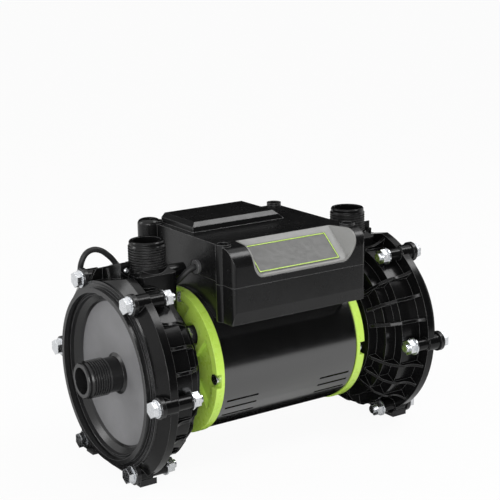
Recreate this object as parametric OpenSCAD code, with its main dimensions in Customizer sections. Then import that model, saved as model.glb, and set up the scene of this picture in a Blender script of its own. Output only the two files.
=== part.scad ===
// Twin-impeller shower pump: a motor between two pump heads, with a terminal box on top.
// Millimetres. X runs along the shaft, Y from front to back, Z up. The origin is on the
// floor under the middle of the shaft.

/* [Stance] */
// Height of the shaft above the floor
shaft_h = 71; // [71:0.5:90]
// Width of each rubber foot across the shaft
foot_w = 10; // [8:0.5:14]
// Length of each rubber foot along the shaft
foot_len = 13; // [8:0.5:15]

/* [Motor] */
// Length of the motor can
motor_len = 116; // [104:1:150]
// Outer radius of the motor can
motor_r = 51.9; // [51.5:0.1:53.5]
// Wall of the motor can
can_wall = 1.8; // [1:0.1:2]
// Length of a cooling slot
slot_len = 26.5; // [10:0.5:28]
// Width of a cooling slot
slot_w = 1.6; // [1:0.1:2.5]
// Distance from the can's end to a cooling slot
slot_edge = 4.5; // [2:0.5:8]
// Length of the stator stack
stack_len = 70; // [40:1:76]
// Radius of the rotor core
rotor_r = 26; // [20:0.5:29]
// Air gap between the rotor and the stator
air_gap = 0.5; // [0.3:0.1:0.8]
// Outer radius of the winding's end turns
winding_r = 43.5; // [38:0.5:44.5]
// Length of the winding's end turns
winding_len = 10; // [6:0.5:12]

/* [Shaft] */
// Radius of the shaft in the bearings
shaft_r = 7.5; // [7:0.1:8.5]
// Radius of the shaft in the pump heads
shaft_end_r = 6; // [5:0.1:6.5]
// Outer radius of a bearing
bearing_r = 17.5; // [15:0.5:19]
// Width of a bearing
bearing_w = 11; // [8:0.5:12]

/* [End frames] */
// Outer radius of the end frame's ring
ring_r = 52.9; // [52.5:0.1:54]
// Width of the end frame's ring along the shaft
ring_w = 6.5; // [5.5:0.1:9]
// Radial thickness of the ring
ring_t = 6.2; // [4:0.1:8]
// Thickness of the end frame's web
web_t = 3; // [2:0.1:4]
// Width of each arm round a head post
arm_w = 27; // [23:0.5:32]
// Radius of the circle that the head posts are on
post_circle_r = 31; // [29:0.5:33]
// Radius of a head post
post_r = 6.5; // [5.5:0.1:7]
// Angle of the head posts above and below the front
post_angle = 50; // [46:1:56]
// Radius of the circle that the tie rods are on
tie_circle_r = 47.2; // [47:0.1:47.4]
// Radius of a tie rod
tie_r = 1.9; // [1.5:0.1:2]
// Radius of a tie rod's head
tie_head_r = 3.8; // [3:0.1:4]
// Width of the notch in the ring at a tie rod
tie_notch_w = 10; // [9:0.5:12]

/* [Pump casing] */
// Gap between the end frame's ring and the casing
head_gap = 9.5; // [6:0.5:14]
// Radius of the casing's step next to the motor
hub_step_r = 46; // [42:0.5:47]
// Width of the casing's step next to the motor
hub_step_w = 8; // [7:0.5:10]
// Radius of the casing's middle step
mid_step_r = 56.5; // [55:0.5:58]
// Width of the casing's middle step
mid_step_w = 9; // [8:0.5:12]
// Radius of the casing's wide step
wide_step_r = 64.5; // [63:0.5:66]
// Width of the casing's wide step
wide_step_w = 16.8; // [15:0.2:20]
// Radius of the casing's rim
rim_r = 74.2; // [73:0.2:76]
// Width of the casing's rim
rim_w = 5.8; // [4:0.2:8]
// Width of the sloping front of the casing
cone_w = 4.9; // [4:0.1:7]
// Radius of the casing's front face
face_r = 66.5; // [66:0.1:68]
// Radius of the pump chamber
chamber_r = 60.2; // [59.4:0.1:61]
// Radius of the chamber's inner recess
recess_r = 50; // [48:0.5:52]
// Thickness of the casing's back walls
casing_wall = 4.5; // [3.5:0.1:5]
// Corner radius of the block under the outlet
block_r = 4; // [2:0.5:6]
// Depth of the block under the outlet, across the shaft
block_depth = 30; // [28:0.5:33]
// Ribs between two bolts
ribs_per_bolt = 3; // [1:1:4]
// Thickness of a rib
rib_t = 2.2; // [1.5:0.1:3]

/* [Bolts] */
// Bolts round each head
bolt_count = 6; // [4:1:8]
// Radius of the bolt circle
bolt_circle_r = 70.35; // [69.5:0.05:71.5]
// Turn of the bolt circle about the shaft
bolt_turn = 2.5; // [0:0.5:6]
// Radius of a bolt's shank
bolt_r = 3; // [2.5:0.1:3.2]
// Width of a hexagon across its flats
hex_af = 10; // [8:0.1:11]
// Height of a bolt's head
bolt_head_h = 4; // [3:0.1:5]
// Height of a nut
nut_h = 5; // [4:0.1:6]
// Radius of a washer
washer_r = 6.3; // [5.8:0.1:6.8]
// Thickness of a washer
washer_t = 1.2; // [0.8:0.1:1.6]
// Length of bolt that stands out of a nut
bolt_tail = 2.6; // [1:0.1:3]
// Radius of a bolt boss in front of the rim
boss_r = 6.2; // [5.6:0.1:6.8]
// Radius of a bolt boss behind the rim
rear_boss_r = 4.9; // [4.5:0.1:5.6]
// Length of a bolt boss behind the rim
rear_boss_len = 10.8; // [8:0.2:12]

/* [Inlet cover] */
// Radius of the cover's ear round a bolt
ear_r = 7.4; // [6.8:0.1:8]
// Thickness of the cover's flange
cover_t = 3; // [2.5:0.1:4]
// Radius of the cover's flange
cover_r = 66.3; // [65.8:0.1:66.5]
// Radius of the raised lip
lip_r = 62; // [61:0.1:63]
// Width of the raised lip
lip_w = 3.2; // [2.5:0.1:3.6]
// Height of the lip above the flange
lip_h = 3.5; // [2.5:0.1:5]
// Depth of the dish below the lip
dish_d = 11.8; // [9:0.1:12.5]
// Radius of the dish
dish_r = 51.1; // [46:0.1:51.5]
// Wall of the cover at the dish
dish_wall = 3.5; // [2.5:0.1:4]
// Length of the inlet beyond the lip
inlet_len = 16; // [12:0.5:24]

/* [Water connections] */
// Crest radius of the pipe thread
thread_r = 13.22; // [13:0.02:13.5]
// Pitch of the pipe thread
thread_pitch = 1.814; // [1.5:0.002:2.2]
// Depth of the pipe thread
thread_d = 1.16; // [0.8:0.02:1.4]
// Length of the thread on a connection
thread_len = 17.8; // [14:0.2:20]
// Bore radius of a connection
port_r = 9.5; // [8.8:0.1:10]
// Distance of the outlet behind the rim's motor side
outlet_back = 20.3; // [18:0.1:21]
// Distance of the outlet in front of the shaft
outlet_front = 2.5; // [0:0.1:5]
// Height of the outlet's end above the shaft
outlet_h = 92.2; // [88:0.2:100]
// Radius of the outlet's tower
tower_r = 15.4; // [15:0.1:15.5]
// Radius of the stub on the tower
stub_r = 5.4; // [4:0.1:6]

/* [Impeller and seal] */
// Radius of the impeller
impeller_r = 50; // [44:0.5:54]
// Width of the impeller
impeller_w = 10.5; // [8:0.5:11]
// Thickness of the impeller's shrouds
shroud_t = 1.6; // [1:0.1:2]
// Vanes of the impeller
vane_count = 6; // [3:1:9]
// Thickness of a vane
vane_t = 2; // [1:0.1:3]
// Radius of the impeller's hub
hub_r = 11; // [9:0.5:12]
// Radius of the seal's seat
seat_r = 14.4; // [13.5:0.1:15]
// Length of the seal's seat
seat_len = 5.5; // [4:0.1:6]

/* [Terminal box] */
// Half width of the box's walls
box_half = 54.5; // [50:0.5:58]
// Half width of the box's front
front_half = 56.5; // [53:0.5:60]
// Distance from the shaft to the box's back
box_back = 44; // [41:0.5:48]
// Distance from the shaft to the box's front
box_front = 63.5; // [60:0.5:68]
// Depth of the wider front
front_d = 16.5; // [13:0.5:20]
// Height of the box's lower edge above the shaft
box_low = 38.5; // [36:0.5:41]
// Height of the joint between the base and the lid
box_split = 65; // [62:0.5:67]
// Height of the lid's top above the shaft
lid_top = 91; // [89:0.5:95]
// Wall of the box
box_wall = 2.5; // [2:0.1:3]
// Radius of the lid's front top edge
nose_r = 12; // [8:0.5:14]
// Height of the raised part of the lid
plateau_h = 6.8; // [4:0.2:10]
// Half length of the raised part along the shaft
plateau_half = 40; // [34:0.5:42]
// Width of the raised part
plateau_w = 44; // [40:0.5:46]
// Radius of a lid boss
lid_boss_r = 5.5; // [5:0.1:6]
// Height of the lid bosses above the lid
lid_boss_h = 1.6; // [1:0.1:3]
// Thickness of the gasket
gasket_t = 0.4; // [0.3:0.1:1.2]
// Radius of the run capacitor
capacitor_r = 17; // [14:0.5:17.5]
// Length of the run capacitor
capacitor_len = 66; // [50:1:70]

/* [Badge] */
// Slope of the badge below level
badge_slope = 40; // [36:1:44]
// Length of the badge's flat
badge_len = 80; // [70:1:84]
// Height of the badge along its slope
badge_w = 30.5; // [28:0.5:33]
// Thickness of the badge
badge_t = 1.2; // [0.8:0.1:1.5]
// Length of the label
label_len = 69; // [56:1:72]
// Height of the label
label_w = 24; // [18:0.5:26]
// Width of the label's border line
border_w = 0.7; // [0.4:0.1:1]

/* [Flow switch] */
// Radius of the float
float_r = 8.8; // [8:0.1:8.9]
// Length of the float
float_len = 14; // [10:0.5:16]
// Travel of the float
float_travel = 8; // [4:0.5:9]
// Radius of the switch's lead
lead_r = 2.1; // [1.8:0.1:2.2]

/* [Hidden] */
$fn = 96;

// Colours
black = "#17181a";
satin_black = "#2b2d2f";
lime = "#9ccb2f";
zinc = "#c9ccce";
steel = "#9a9da0";
copper = "#b46a35";
silver_grey = "#8d8c84";
rubber_black = "#101112";
ivory = "#d8d2bd";

// Clearances and overruns
cut = 1;
overlap = 0.5;
slack = 0.05;
run_gap = 0.04;
seat_gap = 0.2;
free_gap = 0.3;

// Stations along the shaft, from the middle outwards
can_end = motor_len / 2;
ring_end = can_end + ring_w;
web_end = can_end + web_t;
casing_back = ring_end + head_gap;
hub_step_end = casing_back + hub_step_w;
mid_step_end = hub_step_end + mid_step_w;
rim_back = mid_step_end + wide_step_w;
rim_front = rim_back + rim_w;
casing_face = rim_front + cone_w;
cover_face = casing_face + cover_t;
lip_face = cover_face + lip_h;
inlet_end = lip_face + inlet_len;
recess_back = hub_step_end + casing_wall;
chamber_back = mid_step_end + casing_wall;
dish_face = lip_face - dish_d;
dish_inner = dish_face - dish_wall;
outlet_s = rim_back - outlet_back;

// Bolt stations
rear_boss_end = rim_back - rear_boss_len;
nut_face = rear_boss_end - washer_t;
nut_end = nut_face - nut_h;
head_face = cover_face + washer_t;

// Thread and connections
root_r = thread_r - thread_d;
thread_land_share = 0.22;
thread_lead_in = 2.6;
thread_end_h = 0.8;
shank_r = root_r + thread_d / 4;
collar_r = root_r + thread_d / 3;
port_wall = 2.4;
narrow_port_r = port_r - port_wall;
mouth_step = 0.4;
mouth_r = port_r + mouth_step;

// Inlet cover ring details
spigot_r = chamber_r - seat_gap;
spigot_wall = 3.4;
spigot_len = 12.2;
groove_r = 57.6;
groove_d = 5;
crest_r = 56.4;
crest_d = 4;
band_r = 56;
band_d = 6.8;
band_in_r = 52.4;
band_in_d = 10;
collar_t = 1.2;
cover_step = 0.9;

// Cover seal
seal_wire_r = 1;
seal_room = 0.2;
seal_circle_r = 63.6;

// Impeller, shaft and seal
impeller_clear = 2;
impeller_back = dish_inner - impeller_clear - impeller_w;
impeller_front = impeller_back + impeller_w;
hub_front_room = 3.4;
hub_end = impeller_front - hub_front_room;
shaft_nut_af = 13;
shaft_nut_h = 4.4;
shaft_tip = hub_end + shaft_nut_h;
eye_r = 15;
seal_head_r = 12.4;
seat_back_room = 1;
seat_back = casing_back + seat_back_room;
seat_end = seat_back + seat_len;
seal_head_start = seat_end + free_gap;
seat_bore_room = 1.5;
seat_bore_r = shaft_end_r + seat_bore_room;

// Bearings and end frames
bearing_end = web_end - free_gap;
bearing_start = bearing_end - bearing_w;
frame_hub_wall = 4.5;
frame_hub_flare = 2;
frame_hub_r = bearing_r + slack + frame_hub_wall;
spigot_in_len = 4;
spigot_in_t = 3;
arch_room = 2.5;
arch_r = post_r + arch_room;
post_angles = [post_angle, 180 - post_angle, 180 + post_angle, -post_angle];
tie_angles = [bolt_turn, bolt_turn + 90, bolt_turn + 180, bolt_turn + 270];
tie_head_h = 2.6;
tie_seat_depth = 0.5;
tie_face = web_end - tie_seat_depth;
stud_r = 3;
stud_depth = 6;
stud_nut_h = 3;
stud_nut_at_share = 0.5;

// Motor core
core_r = motor_r - can_wall - slack;
core_tie_r = tie_r + seat_gap;
winding_room = 2.5;
winding_in_r = rotor_r + winding_room;
slot_angles = [-157.5, -150, -141.5];

// Casing details
boss_step = 0.6;
rib_foot = 2;
rib_proud = 2;
rib_sweep_r = 14;
rib_sweep_at = 5.5;
rib_start_r = hub_step_r - rib_foot;
tower_foot = 33;
neck_r = 14.2;
block_top_drop = 22.2;
shoulder_rise = 4;
shoulder_in = 6;
stub_bore_r = 3.4;
stub_bore_d = 9;
stub_end_room = 4.5;
stub_end = box_half + stub_end_room;
stub_drop = 25.7;
roof_t = 6.6;
roof_front_y = -3;
roof_peak_h = 79;
roof_back_y = 39;
roof_back_h = 66;
roof_foot_h = 48;
rim_cut_front_y = -20;
rim_cut_front_h = 72;
rim_cut_back_y = 24;
rim_cut_back_h = 62;
rim_cut_top = 90;
flat_lift = 0.7;
rim_flat = shaft_h - flat_lift;
sensor_flat = 11;

// Box details
box_corner_x = 53;
box_corner_front = 46;
box_corner_back = 45.5;
front_r = 3;
column_r = 8.5;
column_out = 3.5;
column_back = 4.5;
column_rise = 3;
column_edge_r = 3.5;
box_clip_half = front_half + 2 * column_r;
box_clip_back = box_back + 2 * column_r;
saddle_r = motor_r + free_gap;
saddle_t = 2.8;
lower_slope_h = 9;
lower_slope_d = 2.5;
plateau_x = -8.5;
plateau_left_cut = 3;
plateau_right_cut = 9.5;
plateau_front_cut = 3;
plateau_front_y = box_back - plateau_w;
lid_screw_r = 2;
lid_screw_head_r = 3.4;
lid_recess_r = 3.8;
lid_recess_d = 5;
lid_screw_head_h = 2.6;
lid_screw_len = 34;
lid_pilot_slack = 0.1;
joint_low = box_split - gasket_t / 2;
joint_high = box_split + gasket_t / 2;
capacitor_y = 22;
capacitor_h = sqrt(pow(saddle_r + saddle_t + capacitor_r + free_gap, 2) - pow(capacitor_y, 2));
capacitor_band = 3;
block_len = 46;
block_d = 16;
block_h = 13;
block_y = -24;
block_ways = 4;
block_seat_h = sqrt(pow(saddle_r + saddle_t, 2) - pow(abs(block_y) - block_d / 2, 2));
block_hole_r = 2;
block_hole_d = 6;

// Badge and label
badge_x = 2;
badge_top_y = 40.5;
badge_top_h = 90;
badge_left_flare = 3;
badge_right_flare = 8;
badge_flare_h = 12;
badge_fit = 0.15;
badge_top_room = 1.6;
badge_corner_r = 6;
badge_wall = 0.9;
label_t = 0.4;
border_t = 0.3;
border_inset = 0.6;
label_drop = 16;

// Glands, switch and lead
gland_x = 24;
gland_h = 54;
gland_af = 19;
gland_nut_h = 6;
gland_dome_h = 8;
gland_dome_r = 8;
gland_bore_r = 4;
gland_inside = 1;
gland_neck_r = 6;
grommet_y = -15;
grommet_h = 70.5;
grommet_r = 4.9;
grommet_lip = 2.2;
grommet_neck_r = 3.7;
float_seat_h = 58;
float_lift = 0.3;
float_flute_r = 2.4;
stop_t = 1.6;
stop_in_r = 6.4;
stop_h = float_seat_h + float_lift + float_len + float_travel + free_gap;
sensor_len = 8.6;
sensor_d = 10.6;
sensor_h = 12.6;
sensor_low = 59.6;

// Route of the lead, from the sensor over the head to the grommet, height above the shaft
lead_route = [
    [-86, 21.8, 65], [-86, 26, 65], [-85, 30, 62.5], [-84.3, 34.5, 61], [-84.3, 39.5, 61],
    [-85, 43.5, 62.5], [-86.8, 46, 65.5], [-89.7, 46.9, 69.7], [-94.3, 47, 74], [-97, 47, 75.9],
    [-100, 47, 77.2], [-103, 47, 77.8], [-106, 47, 77.5], [-108.7, 47, 76.4], [-111, 47, 74.3],
    [-112.7, 47.3, 71.2], [-113.6, 48, 67.5], [-113.5, 49.2, 63.5], [-112, 51.2, 59.5],
    [-109, 53.5, 56], [-104.5, 55.5, 53.2], [-99, 56, 51.8], [-93, 53.5, 51.3], [-87, 48, 52.3],
    [-81.5, 40.5, 54.8], [-76.5, 31, 57.5], [-72.5, 21.5, 59.3], [-69.6, 12, 59.3], [-68.5, 3.5, 58],
    [-68.2, -3.5, 58], [-67.3, -8.7, 60.8], [-65, -11.8, 64.6], [-62.2, -13.6, 67.8],
    [-59, -14.7, 69.9], [-56.5, -15, 70.5], [-48, -15, 70.5]
];
lead_sides = 10;

// Turns a profile of [station, radius] points about the shaft's line
module turned(profile) {
    rotate([0, 90, 0]) rotate_extrude() polygon([for (p = profile) [p[1], p[0]]]);
}

// A straight round bar along the shaft's line, from one station to another
module bar(r, from, to) {
    translate([from, 0, 0]) rotate([0, 90, 0]) cylinder(r = r, h = to - from);
}

// A hexagon bar along the shaft's line
module hex_bar(across, from, to) {
    translate([from, 0, 0]) rotate([0, 90, 0]) cylinder(d = across / cos(30), h = to - from, $fn = 6);
}

// Moves a child from the shaft's line to a place on a circle about it
module on_circle(radius, angle) {
    rotate([angle, 0, 0]) translate([0, radius, 0]) children();
}

// Places a head's piece at the right (1) or, mirrored, at the left (-1)
module at_side(side) {
    translate([0, 0, shaft_h])
        if (side > 0) children();
        else mirror([1, 0, 0]) children();
}

function bolt_angle(i) = bolt_turn + i * 360 / bolt_count;

// Outline points of a thread's ridges along a line, from its root end to its tip
function ridges(start) =
    let (turns = floor((thread_len - thread_lead_in) / thread_pitch), land = thread_pitch * thread_land_share)
    [for (i = [0:turns - 1], p = [[0, root_r], [land, root_r], [thread_pitch / 2, thread_r],
        [thread_pitch / 2 + land, thread_r]])
        [start + i * thread_pitch + p[0], p[1]]];

module motor_can() {
    color(black) translate([0, 0, shaft_h]) difference() {
        bar(motor_r, -can_end, can_end);
        bar(motor_r - can_wall, -can_end - cut, can_end + cut);
        for (a = slot_angles, end = [0, 1], back = [0, 1])
            mirror([end, 0, 0]) mirror([0, back, 0]) rotate([a, 0, 0])
                translate([can_end - slot_edge - slot_len, motor_r - can_wall - cut, -slot_w / 2])
                    cube([slot_len, can_wall + 2 * cut, slot_w]);
    }
}

module stator_core() {
    color(steel) translate([0, 0, shaft_h]) difference() {
        bar(core_r, -stack_len / 2, stack_len / 2);
        bar(rotor_r + air_gap, -stack_len / 2 - cut, stack_len / 2 + cut);
        for (a = tie_angles)
            on_circle(tie_circle_r, a) bar(core_tie_r, -stack_len / 2 - cut, stack_len / 2 + cut);
    }
}

module windings() {
    color(copper) for (side = [-1, 1]) at_side(side) difference() {
        bar(winding_r, stack_len / 2, stack_len / 2 + winding_len);
        bar(winding_in_r, stack_len / 2 - cut, stack_len / 2 + winding_len + cut);
    }
}

module rotor_core() {
    color(steel) translate([0, 0, shaft_h]) difference() {
        bar(rotor_r, -stack_len / 2, stack_len / 2);
        bar(shaft_r + run_gap, -stack_len / 2 - cut, stack_len / 2 + cut);
    }
}

module shaft() {
    color(zinc) translate([0, 0, shaft_h]) {
        bar(shaft_end_r, -shaft_tip, shaft_tip);
        bar(shaft_r, -web_end - free_gap, web_end + free_gap);
    }
}

module tie_rods() {
    color(zinc) translate([0, 0, shaft_h]) for (a = tie_angles) on_circle(tie_circle_r, a) {
        bar(tie_r, -tie_face, tie_face);
        bar(tie_head_r, tie_face, tie_face + tie_head_h);
        bar(tie_head_r, -tie_face - tie_head_h, -tie_face);
    }
}

module end_frame(side) {
    color(lime) at_side(side) difference() {
        union() {
            turned([[can_end, ring_r], [ring_end, ring_r], [ring_end, ring_r - ring_t],
                [web_end, ring_r - ring_t],
                [web_end, shaft_r + cut], [bearing_start, shaft_r + cut], [bearing_start, frame_hub_r],
                [can_end, frame_hub_r + frame_hub_flare]]);
            turned([[can_end - spigot_in_len, core_r - spigot_in_t],
                [can_end - spigot_in_len, core_r - seat_gap],
                [web_end, core_r - seat_gap], [web_end, core_r - spigot_in_t]]);
            for (a = post_angles) rotate([a, 0, 0])
                translate([web_end - web_t / 2, frame_hub_r, -arm_w / 2])
                    cube([ring_end - web_end + web_t / 2, ring_r - ring_t / 2 - frame_hub_r, arm_w]);
        }
        bar(bearing_r + slack, bearing_start - cut, bearing_end + slack);
        bar(shaft_r + 2 * cut, bearing_end, ring_end + cut);
        for (a = post_angles) on_circle(post_circle_r, a) {
            bar(arch_r, web_end, ring_end + cut);
            bar(stud_r + slack, can_end - cut, web_end + cut);
            translate([web_end, -post_circle_r, -arch_r]) cube([ring_w + cut, post_circle_r, 2 * arch_r]);
        }
        for (a = tie_angles) on_circle(tie_circle_r, a) {
            bar(tie_r + seat_gap, can_end - spigot_in_len - cut, web_end + cut);
            translate([tie_face, -tie_notch_w / 2, -tie_notch_w / 2])
                cube([ring_w + cut, tie_notch_w / 2 + ring_r, tie_notch_w]);
        }
    }
}

module bearing(side) {
    color(steel) at_side(side) difference() {
        bar(bearing_r, bearing_start, bearing_end);
        bar(shaft_r + run_gap, bearing_start - cut, bearing_end + cut);
    }
}

// The casing's body of steps, rim and sloping front, solid as far as its bore
module casing_body() {
    turned([[casing_back, 0], [casing_back, hub_step_r], [hub_step_end, hub_step_r],
        [hub_step_end, mid_step_r],
        [mid_step_end, mid_step_r], [mid_step_end, wide_step_r], [rim_back, wide_step_r], [rim_back, rim_r],
        [rim_front, rim_r], [casing_face, face_r], [casing_face, 0]]);
}

// One rib, whose edge stays just proud of the steps and then sweeps up to the rim
module casing_rib() {
    translate([0, 0, -rib_t / 2]) linear_extrude(rib_t) difference() {
        polygon([
            [casing_back + rib_foot, rib_start_r], [casing_back + rib_foot, hub_step_r + rib_proud],
            [hub_step_end, mid_step_r + rib_proud / 2], [hub_step_end + rib_foot, mid_step_r + 2 * rib_proud],
            [mid_step_end, wide_step_r + rib_proud / 2], [rim_back + rib_foot, rim_r - rib_foot / 2],
            [rim_back + rib_foot, rib_start_r]]);
        translate([mid_step_end + rib_sweep_at, wide_step_r + rib_proud + rib_sweep_r])
            circle(r = rib_sweep_r);
    }
}

// The outlet's tower with its thread, from inside the casing to its end
module outlet_tower() {
    block_top = outlet_h - block_top_drop;
    translate([outlet_s, -outlet_front, 0]) rotate_extrude() polygon(concat(
        [[0, tower_foot], [neck_r, tower_foot], [neck_r, outlet_h - thread_len]],
        [for (p = ridges(outlet_h - thread_len)) [p[1], p[0]]],
        [[collar_r, outlet_h - thread_lead_in], [collar_r, outlet_h - thread_end_h],
            [collar_r - thread_d / 2, outlet_h], [0, outlet_h]]));
    intersection() {
        translate([outlet_s, -outlet_front - tower_r + block_depth / 2, tower_foot])
            linear_extrude(outlet_h - tower_foot) union() {
                square([2 * tower_r - 2 * block_r, block_depth], center = true);
                square([2 * tower_r, block_depth - 2 * block_r], center = true);
                for (x = [-1, 1], y = [-1, 1])
                    translate([x * (tower_r - block_r), y * (block_depth / 2 - block_r)]) circle(r = block_r);
            }
        // Sloping shoulders along the shaft and across it
        translate([outlet_s, block_depth, 0]) rotate([90, 0, 0]) linear_extrude(2 * block_depth)
            shoulder_profile(tower_r, block_top);
        translate([outlet_s - block_depth, -outlet_front - tower_r + block_depth / 2, 0]) rotate([90, 0, 90])
            linear_extrude(2 * block_depth) shoulder_profile(block_depth / 2, block_top);
    }
}

// Side view of the block under the outlet, with its sloping shoulders
module shoulder_profile(half, block_top) {
    polygon([[-half - cut, tower_foot - cut], [-half - cut, block_top - cut * shoulder_rise / shoulder_in],
        [-half + shoulder_in, block_top + shoulder_rise], [half - shoulder_in, block_top + shoulder_rise],
        [half + cut, block_top - cut * shoulder_rise / shoulder_in], [half + cut, tower_foot - cut]]);
}

module casing(side) {
    color(black) at_side(side) difference() {
        union() {
            difference() {
                casing_body();
                // The rim is lower behind the outlet
                translate([rim_back - cut, 0, 0]) rotate([90, 0, 90]) linear_extrude(casing_face)
                    polygon([[rim_cut_front_y, rim_cut_top], [rim_cut_front_y, rim_cut_front_h],
                        [rim_cut_back_y, rim_cut_back_h], [rim_cut_back_y, rim_cut_top]]);
            }
            for (i = [0:bolt_count - 1]) {
                on_circle(bolt_circle_r, bolt_angle(i)) {
                    bar(boss_r, rim_back + boss_step, casing_face);
                    bar(rear_boss_r, rear_boss_end, rim_front);
                }
                for (j = [1:ribs_per_bolt])
                    rotate([bolt_angle(i + j / (ribs_per_bolt + 1)), 0, 0]) casing_rib();
            }
            outlet_tower();
            translate([stub_end, -outlet_front, outlet_h - stub_drop]) rotate([0, 90, 0])
                cylinder(r = stub_r, h = outlet_s - stub_end);
            // A sloping roof joins the tower to the rim behind it
            translate([rim_back - roof_t, 0, 0]) rotate([90, 0, 90]) linear_extrude(roof_t + cut)
                polygon([[roof_front_y, roof_foot_h], [roof_front_y, roof_peak_h],
                    [roof_back_y, roof_back_h], [roof_back_y, roof_foot_h]]);
        }
        turned([[chamber_back, 0], [chamber_back, chamber_r], [casing_face + cut, chamber_r],
            [casing_face + cut, 0]]);
        bar(recess_r, recess_back, chamber_back + cut);
        bar(seat_r + slack, casing_back - cut, recess_back + cut);
        // Groove for the cover's seal
        turned([[casing_face - 2 * seal_wire_r - seal_room, seal_circle_r - seal_wire_r - seal_room],
            [casing_face - 2 * seal_wire_r - seal_room, seal_circle_r + seal_wire_r + seal_room],
            [casing_face + cut, seal_circle_r + seal_wire_r + seal_room],
            [casing_face + cut, seal_circle_r - seal_wire_r - seal_room]]);
        for (i = [0:bolt_count - 1])
            on_circle(bolt_circle_r, bolt_angle(i)) {
                bar(bolt_r + slack, rear_boss_end - cut, casing_face + cut);
                bar(washer_r + seat_gap, mid_step_end - cut, rear_boss_end);
            }
        for (a = post_angles)
            on_circle(post_circle_r, a) bar(stud_r + slack, casing_back - cut, casing_back + stud_depth);
        translate([outlet_s, -outlet_front, float_seat_h])
            cylinder(r = port_r, h = outlet_h - float_seat_h + cut);
        translate([outlet_s, -outlet_front, stop_h + stop_t])
            cylinder(r = mouth_r, h = outlet_h - stop_h - stop_t + cut);
        translate([outlet_s, -outlet_front, tower_foot + casing_wall])
            cylinder(r = narrow_port_r, h = float_seat_h - tower_foot);
        translate([stub_end - cut, -outlet_front, outlet_h - stub_drop]) rotate([0, 90, 0])
            cylinder(r = stub_bore_r, h = stub_bore_d + cut);
        // Flat seat for the flow sensor at the back of the tower
        translate([outlet_s - tower_r - cut, sensor_flat, sensor_low - seat_gap])
            cube([2 * tower_r - roof_t + cut, tower_r, sensor_h + 2 * seat_gap]);
        // Flat underside, clear of the floor
        translate([casing_back, -rim_r, -shaft_h - rim_r])
            cube([inlet_end, 2 * rim_r, rim_r + shaft_h - rim_flat]);
    }
}

module inlet_cover(side) {
    color(satin_black) at_side(side) difference() {
        union() {
            turned(concat(
                [[dish_inner, 0], [dish_inner, spigot_r - spigot_wall],
                    [casing_face - spigot_len, spigot_r - spigot_wall],
                    [casing_face - spigot_len, spigot_r], [casing_face, spigot_r], [casing_face, cover_r],
                    [cover_face - cover_step, cover_r], [cover_face - cover_step, cover_r - 2 * cover_step],
                    [cover_face, cover_r - 2 * cover_step], [cover_face, lip_r + cover_step / 2],
                    [cover_face, lip_r], [lip_face, lip_r], [lip_face, lip_r - lip_w],
                    [lip_face - groove_d, groove_r + cover_step], [lip_face - groove_d, groove_r],
                    [lip_face - crest_d, crest_r + cover_step / 2], [lip_face - crest_d, crest_r],
                    [lip_face - band_d, band_r], [lip_face - band_in_d, band_in_r],
                    [dish_face, dish_r], [dish_face, shank_r + 2 * collar_t],
                    [dish_face + collar_t, shank_r], [inlet_end - thread_len, shank_r]],
                ridges(inlet_end - thread_len),
                [[inlet_end - thread_lead_in, collar_r], [inlet_end - thread_end_h, collar_r],
                        [inlet_end, collar_r - thread_d / 2], [inlet_end, 0]]));
            for (i = [0:bolt_count - 1])
                on_circle(bolt_circle_r, bolt_angle(i)) bar(ear_r, casing_face, cover_face);
        }
        bar(port_r, dish_inner - cut, inlet_end + cut);
        for (i = [0:bolt_count - 1])
            on_circle(bolt_circle_r, bolt_angle(i)) bar(bolt_r + slack, casing_face - cut, cover_face + cut);
    }
}

module cover_seal(side) {
    color(rubber_black) at_side(side) translate([casing_face - seal_wire_r - seal_room / 2, 0, 0])
        rotate([0, 90, 0]) rotate_extrude() translate([seal_circle_r, 0]) circle(r = seal_wire_r, $fn = 32);
}

module head_bolts(side) {
    color(zinc) at_side(side) for (i = [0:bolt_count - 1])
        on_circle(bolt_circle_r, bolt_angle(i)) {
            bar(bolt_r, nut_end - bolt_tail, head_face + overlap);
            hex_bar(hex_af, head_face, head_face + bolt_head_h);
        }
}

module head_washers(side) {
    color(zinc) at_side(side) for (i = [0:bolt_count - 1])
        on_circle(bolt_circle_r, bolt_angle(i)) for (seat = [cover_face, nut_face]) difference() {
            bar(washer_r, seat, seat + washer_t);
            bar(bolt_r + slack, seat - cut, seat + washer_t + cut);
        }
}

module head_nuts(side) {
    color(zinc) at_side(side) for (i = [0:bolt_count - 1])
        on_circle(bolt_circle_r, bolt_angle(i)) difference() {
            hex_bar(hex_af, nut_end, nut_face);
            bar(bolt_r + slack, nut_end - cut, nut_face + cut);
        }
}

module impeller(side) {
    color(satin_black) at_side(side) difference() {
        union() {
            bar(hub_r, impeller_back, hub_end);
            bar(impeller_r, impeller_back, impeller_back + shroud_t);
            difference() {
                bar(impeller_r, impeller_front - shroud_t, impeller_front);
                bar(eye_r, impeller_front - shroud_t - cut, impeller_front + cut);
            }
            intersection() {
                bar(impeller_r, impeller_back, impeller_front);
                for (i = [0:vane_count - 1]) rotate([i * 360 / vane_count, 0, 0])
                    translate([impeller_back + shroud_t / 2, hub_r / 2, hub_r - vane_t])
                        cube([impeller_w - shroud_t, impeller_r, vane_t]);
            }
        }
        bar(shaft_end_r + run_gap, impeller_back - cut, impeller_front + cut);
        bar(eye_r, hub_end, impeller_front + cut);
    }
}

module impeller_nut(side) {
    color(zinc) at_side(side) difference() {
        hex_bar(shaft_nut_af, hub_end, shaft_tip - free_gap);
        bar(shaft_end_r + run_gap, hub_end - cut, shaft_tip + cut);
    }
}

module seal_seat(side) {
    color(ivory) at_side(side) difference() {
        bar(seat_r, seat_back, seat_end);
        bar(seat_bore_r, seat_back - cut, seat_end + cut);
    }
}

module seal_head(side) {
    color(steel) at_side(side) difference() {
        bar(seal_head_r, seal_head_start, impeller_back);
        bar(shaft_end_r + run_gap, seal_head_start - cut, impeller_back + cut);
    }
}

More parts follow.
